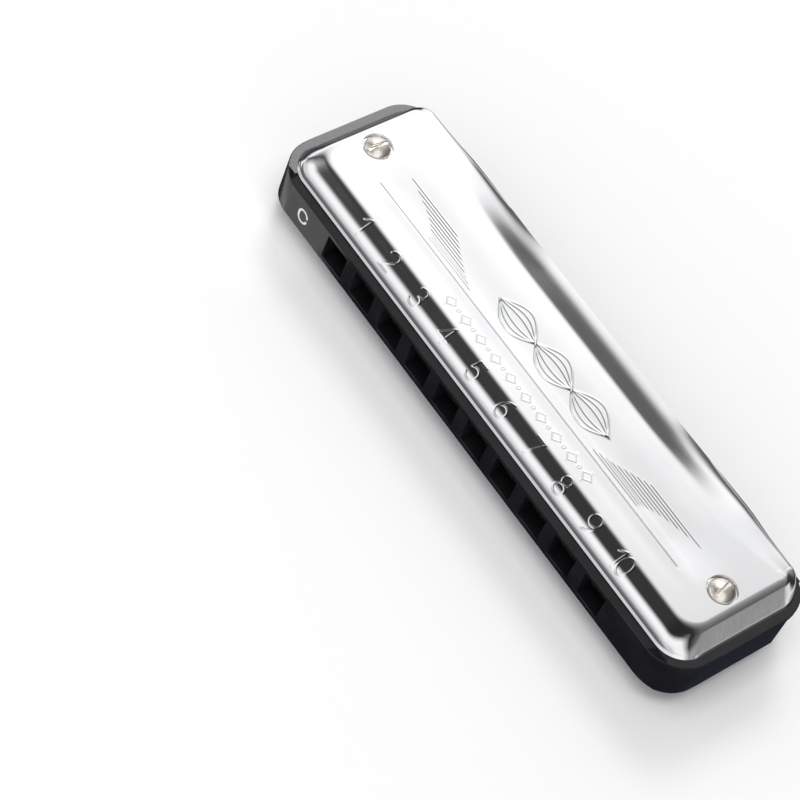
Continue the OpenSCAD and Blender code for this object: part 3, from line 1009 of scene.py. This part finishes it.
def plate_screws(kind):
    """Small screws at the plate's back edge, and between them at its front edge."""
    plate_lo, plate_hi = box_mm(f"{kind}_reed_plate")
    up = 1 if kind == "blow" else -1
    face = plate_hi[2] if up > 0 else plate_lo[2]
    shank = [(0, -1.6), (0.5, -1.6), (0.64, -1.4), (0.64, 0)]
    shell = Shell()
    for i in PLATE_SCREWS:
        y = SCREW_BACK_Y if i % 4 == 0 else SCREW_FRONT_Y
        head = slotted_head(SMALL_HEAD_R, SMALL_EDGE, SMALL_CROWN, 0.36, 0.3, math.radians(23 * i + 8), shank)
        shell.join(head, (i * PITCH, y, face), up)
    fixed(shell.mesh(f"{kind}_plate_screw_set", 30), "small_screw_steel", f"{kind}_plate_screws")


def rivets(kind):
    """Domed heads on the reeds' feet, and ends flattened against the plate's far face."""
    plate_lo, plate_hi = box_mm(f"{kind}_reed_plate")
    plate_thick = plate_hi[2] - plate_lo[2]
    foot_top = LIFT + THICK
    head_r, rim, dome_h = 0.85, 0.05, 0.2
    end = [(0, -plate_thick - 0.03), (RIVET_R - 0.12, -plate_thick - 0.02), (RIVET_R, -plate_thick + 0.04)]
    head = [(RIVET_R, foot_top), (head_r - 0.03, foot_top), (head_r, foot_top + rim)]
    dome = [(head_r * math.cos(a), foot_top + rim + dome_h * math.sin(a)) for a in np.radians((22, 45, 68))]
    crown = (0, foot_top + rim + dome_h)
    one = Shell()
    one.lathe([*end, *head, *dome, crown], np.radians(np.arange(0, 360, 15)))
    shell = Shell()
    for n in range(1, HOLES + 1):
        lo, hi = box_mm(f"{kind}_reed_{n}")
        y = hi[1] - THICK / 2 + FOOT_L / 2 if kind == "blow" else lo[1] + THICK / 2 - FOOT_L / 2
        shell.join(one, (hole_x(n), y, plate_lo[2]), -1)
    fixed(shell.mesh(f"{kind}_rivet_set", 40), "rivet_brass", f"{kind}_rivets")


screw_lo, screw_hi = box_mm("cover_screws")
seat = top_hi[2] - TOP_DIMPLE
deep = seat - screw_lo[2]
end_pair("cover_screw_pair", "cover_screws", seat, 1, (-3, 9), HEAD_R, HEAD_EDGE, screw_hi[2] - seat,
         0.55, 0.6, shank=[(0, -deep), (0.82, -deep), (1.0, -deep + 0.18), (1.0, 0)])
nut_lo, nut_hi = box_mm("cover_nuts")
end_pair("cover_nut_pair", "cover_nuts", nut_hi[2], -1, (35, -20), NUT_R, NUT_EDGE, nut_hi[2] - nut_lo[2],
         0.7, 0.45, bore=NUT_BORE)
for kind in ("blow", "draw"):
    plate_screws(kind)
    rivets(kind)
paint(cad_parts["key_letter"], FINISH["letter_ink"])


# ---- studio

PEAK = 1.2  # the brightest level of the room that a curve can hold
AMBIENT = 0.012
BACKDROP = 0.95  # what the camera sees in place of the room


def room(n, way):
    """Light of the studio by direction.

    A soft box high behind, which fades to the right, a pale wall in front, low lights left of the back, and a
    faint one on the right.
    """
    split = n.add("ShaderNodeSeparateXYZ")
    n.link(way, split.inputs[0])
    x, y, z = split.outputs

    def profile(value, *stops, unit=1.0):
        """Straight lines between (place, level) stops."""
        curve = n.add("ShaderNodeFloatCurve")
        low, high = stops[0][0] * unit, stops[-1][0] * unit
        points = curve.mapping.curves[0].points
        while len(points) < len(stops):
            points.new(0.5, 0.5)
        for point, (at, level) in zip(points, stops):
            point.location = ((at * unit - low) / (high - low), level / PEAK)
            point.handle_type = "VECTOR"
        curve.mapping.update()
        n.link(n.ramp(value, low, high, 0.0, 1.0), curve.inputs["Value"])
        return n.times(curve.outputs[0], PEAK)

    # degrees: 0 is straight up, 90 level with the back
    back = n.math("ARCTAN2", y, z)
    degree = math.radians(1)
    height = profile(back, (-20, 0.01), (-6, 0.03), (4, 0.10), (14, 0.50), (22, 0.80), (31, 1.0), (38, 1.1),
                     (50, 1.05), (56, 0.85), (61, 0.55), (66, 0.25), (72, 0.12), (100, 0.08), unit=degree)
    across = profile(x, (-1, 0.7), (-0.8, 0.85), (-0.35, 1.08), (-0.24, 0.86), (-0.15, 0.60), (-0.05, 0.40),
                     (0.18, 0.27), (0.40, 0.18), (0.8, 0.10), (1, 0.10))
    box = n.times(height, across)
    wall_up = profile(z, (-1, 0.3), (0, 0.55), (0.18, 0.75), (0.34, 0.95), (0.62, 1.0), (0.74, 0.7),
                      (0.83, 0.22), (0.88, 0.02), (1, 0.0))
    wall = n.times(wall_up, profile(y, (-1, 1.0), (-0.3, 1.0), (0.0, 0.0), (1, 0.0)))
    left_across = profile(x, (-1, 0.9), (-0.395, 0.9), (-0.335, 0.0), (-0.235, 0.0), (-0.212, 0.5),
                          (-0.1, 0.5), (0, 0.0), (1, 0.0))
    left = n.times(left_across, profile(back, (45, 0.0), (62, 1.0), (96, 1.0), (104, 0.0), unit=degree))
    right_across = profile(x, (-1, 0.0), (0.60, 0.0), (0.78, 0.26), (1, 0.26))
    right = n.times(right_across, profile(z, (-1, 1.0), (0.18, 1.0), (0.34, 0.0), (1, 0.0)))
    return n.plus(n.plus(n.plus(box, wall), n.plus(left, right)), AMBIENT)


def background():
    """The world: reflections and light come from the room, and the camera sees a plain backdrop."""
    scene = bpy.context.scene
    scene.view_settings.view_transform = "Standard"
    scene.view_settings.look = "None"
    world = bpy.data.worlds.new("studio")
    scene.world = world
    world.use_nodes = True
    world.node_tree.nodes.clear()
    n = Nodes(world)
    way = n.add("ShaderNodeTexCoord").outputs["Generated"]
    out = n.add("ShaderNodeOutputWorld")
    light = n.add("ShaderNodeBackground", Color=(1, 1, 1, 1))
    n.link(light.outputs[0], out.inputs[0])
    total = room(n, way)
    path = n.add("ShaderNodeLightPath")
    swap = n.add("ShaderNodeMix", data_type="FLOAT")
    n.link(path.outputs["Is Camera Ray"], swap.inputs[0])
    n.link(total, swap.inputs[2])
    swap.inputs[3].default_value = BACKDROP
    n.link(swap.outputs[0], light.inputs["Strength"])


def flat_sheet(name, size):
    """A square of the staging, from -size to size, on the ground."""
    data = bpy.data.meshes.new(name)
    bm = bmesh.new()
    bmesh.ops.create_grid(bm, x_segments=1, y_segments=1, size=size)
    bm.to_mesh(data)
    bm.free()
    sheet = placed(name, data)
    return sheet


def dark_card():
    """A card just above the floor that only reflections see: it keeps the chrome's lower faces dark."""
    card = flat_sheet("dark_card", 0.35)
    card.location = (0, 0, 0.0002)
    for kind in ("camera", "diffuse", "shadow", "transmission"):
        setattr(card, f"visible_{kind}", False)
    m = bpy.data.materials.new("dark_card")
    m.use_nodes = True
    n = Nodes(m)
    n.tree.nodes.clear()
    glow, surface = n.add("ShaderNodeEmission"), n.add("ShaderNodeOutputMaterial")
    spot = n.add("ShaderNodeSeparateXYZ")
    n.link(n.place(), spot.inputs[0])
    x, y, _ = spot.outputs
    # it brightens away from the harmonica, and in a patch at the left end of the mouth side
    ahead = n.ramp(y, -0.018, -0.10, 0.0, 0.34)
    right = n.ramp(x, 0.058, 0.074, 0.0, 0.24)
    far_left = n.ramp(x, -0.12, -0.20, 0.0, 0.5)
    behind = n.ramp(y, 0.04, 0.12, 0.0, 0.6)
    patch_x = n.ramp(x, -0.035, -0.040, 0.0, 0.9)
    patch_y = n.ramp(y, -0.013, -0.015, 0.0, 1.0)
    near_left = n.times(n.times(patch_x, patch_y), n.ramp(y, -0.024, -0.030, 1.0, 0.0))
    level = n.plus(n.plus(n.plus(ahead, behind), right), n.plus(far_left, near_left))
    n.link(n.mix(level, (0.040, 0.045, 0.065), (1.0, 1.0, 1.0)), glow.inputs["Color"])
    n.link(glow.outputs[0], surface.inputs[0])
    paint(card, m)


def area_light(name, shape, size, energy):
    light = bpy.data.lights.new(name, "AREA")
    light.shape = shape
    light.size = size
    light.energy = energy
    return placed(name, light)


def disk_light(name, size, energy, place, pieces):
    """A round light that faces the harmonica and lights only some pieces."""
    lamp = area_light(name, "DISK", size, energy)
    turned = place.to_track_quat("Z", "Y").to_matrix().to_4x4()
    lamp.matrix_world = Matrix.Translation(place) @ turned
    lit = bpy.data.collections.new(f"lit_by_{name}")
    for piece in pieces:
        lit.objects.link(piece)
    lamp.light_linking.receiver_collection = lit


def studio():
    background()
    floor = flat_sheet("floor", 3.0)
    paint(floor, material("floor", (0.90, 0.90, 0.90), 0.0, 0.6)[0])
    dark_card()
    overhead = area_light("overhead", "RECTANGLE", 0.9, 9.0)
    overhead.data.size_y = 0.9
    overhead.location = (0.1, -0.2, 1.2)
    overhead.visible_glossy = False
    # the covers mirror the room, so only the plastic, the screws and the floor need the key light
    screw_heads = bpy.data.objects["cover_screw_pair"]
    plain = (comb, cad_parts["key_letter"], floor, screw_heads)
    disk_light("key", 0.4, 2.9, Vector((-0.52, 0.49, 0.70)) * 1.2, plain)
    disk_light("screw_fill", 0.9, 2.4, Vector((0.30, -0.12, 0.95)), (screw_heads,))


AZIMUTH, ELEVATION, ROLL = 34.09, 53.80, 24.41
AIM, DISTANCE = (-6.404, -21.864, 10), 452.70
SENSOR_W, FOCAL_L = 36, 135.75


def camera():
    """The camera stands to the right of the mouth side, looks down on the upper cover, and is rolled."""
    azimuth, elevation = math.radians(AZIMUTH), math.radians(ELEVATION)
    level_part = math.cos(elevation)
    back = Vector((math.sin(azimuth) * level_part, -math.cos(azimuth) * level_part, math.sin(elevation)))
    data = bpy.data.cameras.new("camera")
    data.sensor_width, data.lens = SENSOR_W, FOCAL_L
    data.clip_start, data.clip_end = 0.01, 20
    cam = placed("camera", data)
    turned = (-back).to_track_quat("-Z", "Y").to_matrix() @ Matrix.Rotation(math.radians(ROLL), 3, "Z")
    cam.matrix_world = Matrix.Translation((Vector(AIM) + back * DISTANCE) * MM) @ turned.to_4x4()
    bpy.context.scene.camera = cam


studio()
camera()
